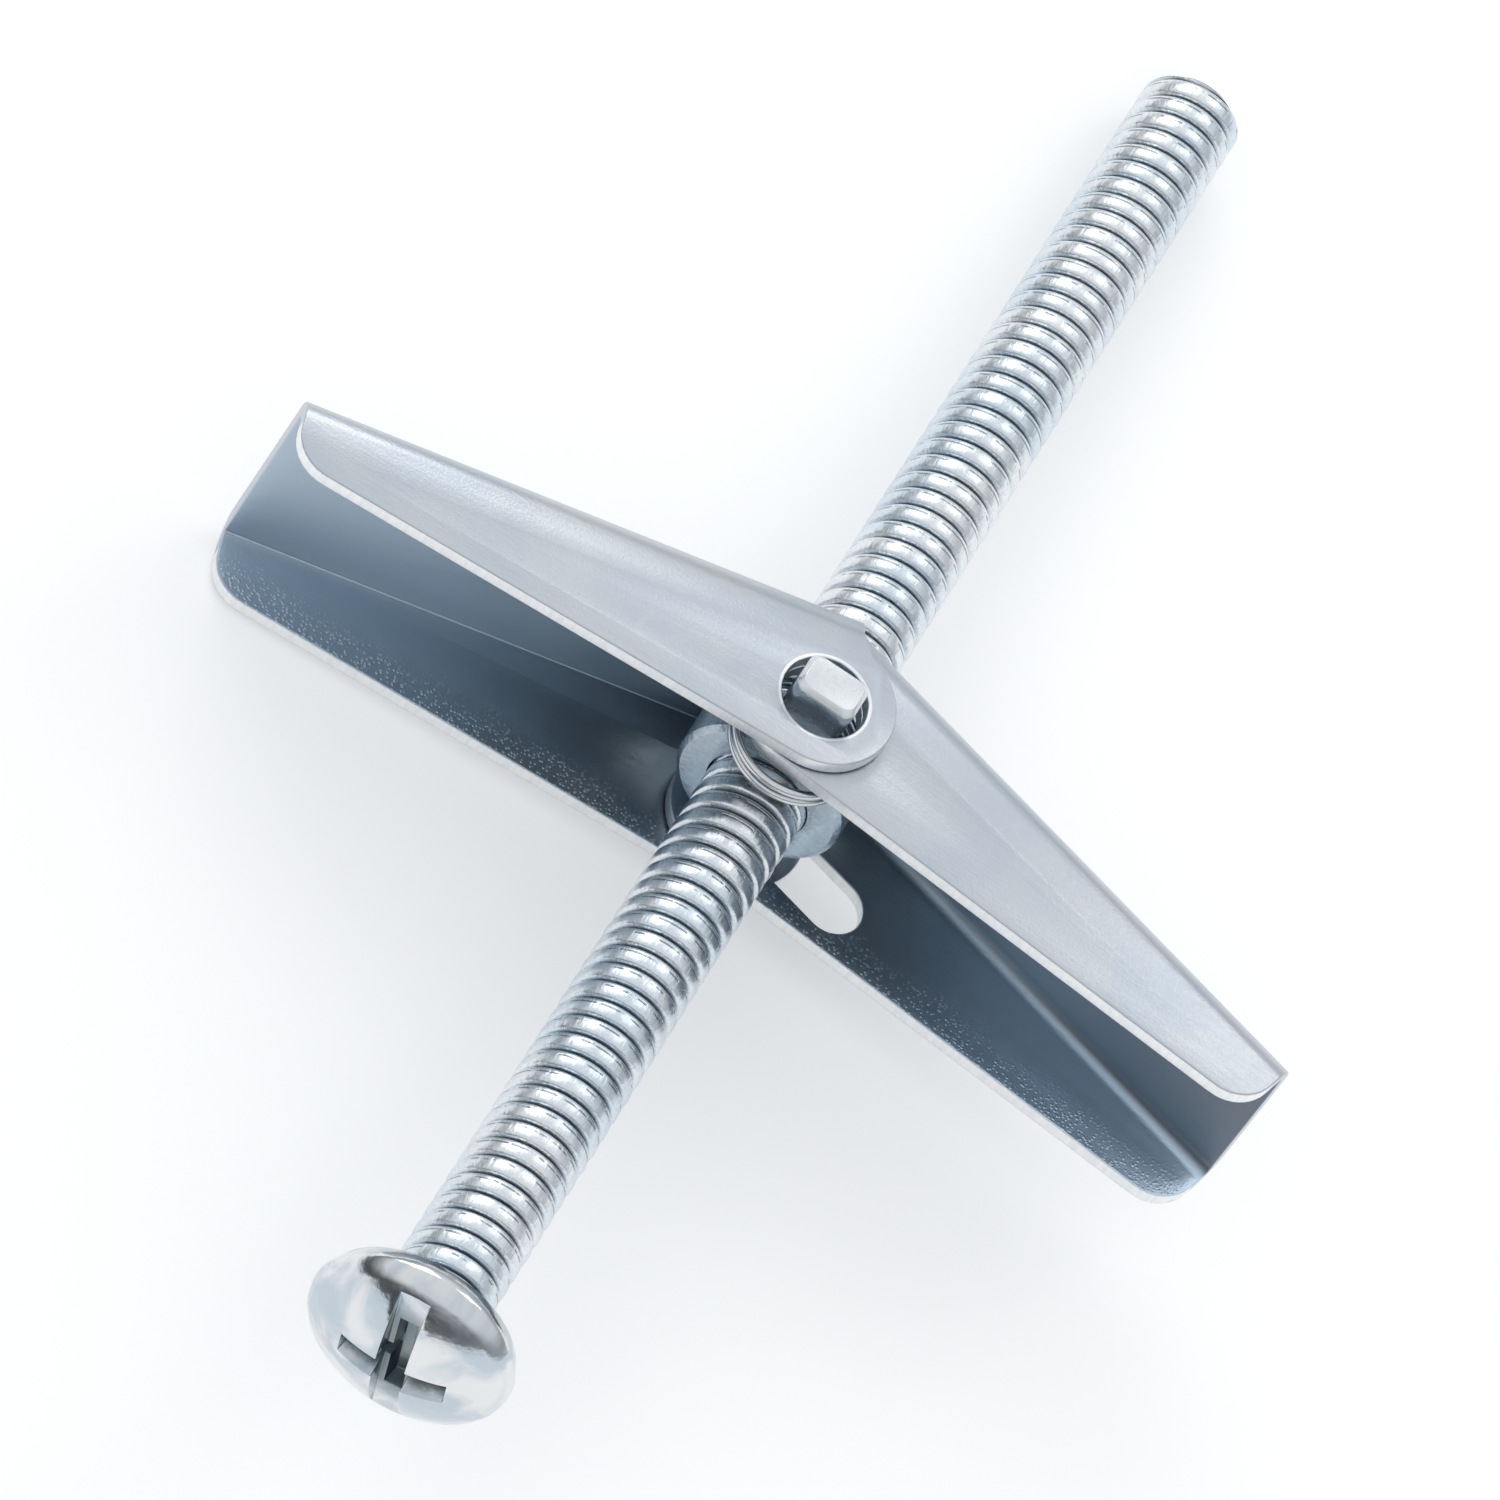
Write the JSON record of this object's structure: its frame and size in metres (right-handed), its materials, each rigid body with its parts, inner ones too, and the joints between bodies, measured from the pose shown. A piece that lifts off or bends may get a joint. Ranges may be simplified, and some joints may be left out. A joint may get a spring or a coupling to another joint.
{
  "type": "spring toggle bolt",
  "caption": "Hollow-wall fastener: a long machine screw through a threaded nut that carries spring-loaded folding channel wings.",
  "frame": {"origin": "centre of the screw head's bearing face, on the screw's axis", "axes": "+Y along the screw from its head to its tip, +Z along the wings' hinge axis, +X toward the inner wing"},
  "size_m": [0.0506, 0.0793, 0.0142],
  "materials": {
    "screw_zinc": "bright zinc plated, rolled thread",
    "nut_zinc": "bright zinc plated",
    "spring_wire": "bright zinc plated spring wire",
    "wing_zinc": "bright zinc plated pressed sheet, satin"
  },
  "bodies": {
    "screw": {"machine_screw": "screw_zinc"},
    "nut": {"toggle_nut": "nut_zinc", "torsion_spring": "spring_wire"},
    "outer_wing": {"outer_wing": "wing_zinc"},
    "inner_wing": {"inner_wing": "wing_zinc"}
  },
  "joints": [
    {"name": "nut_travel", "type": "slide", "parent": "screw", "child": "nut", "axis": [0, 1, 0], "range_m": [-0.009, 0.041]},
    {"name": "outer_wing_fold", "type": "hinge", "parent": "nut", "child": "outer_wing", "pos_m": [0, 0.034, 0], "axis": [0, 0, 1], "range_deg": [0, 75], "stiffness_Nm_per_rad": 0.019, "springref_deg": -45.84, "deforming": ["torsion_spring"]},
    {"name": "inner_wing_fold", "type": "hinge", "parent": "nut", "child": "inner_wing", "pos_m": [0, 0.034, 0], "axis": [0, 0, -1], "range_deg": [0, 75], "stiffness_Nm_per_rad": 0.019, "springref_deg": -45.84, "deforming": ["torsion_spring"]}
  ]
}
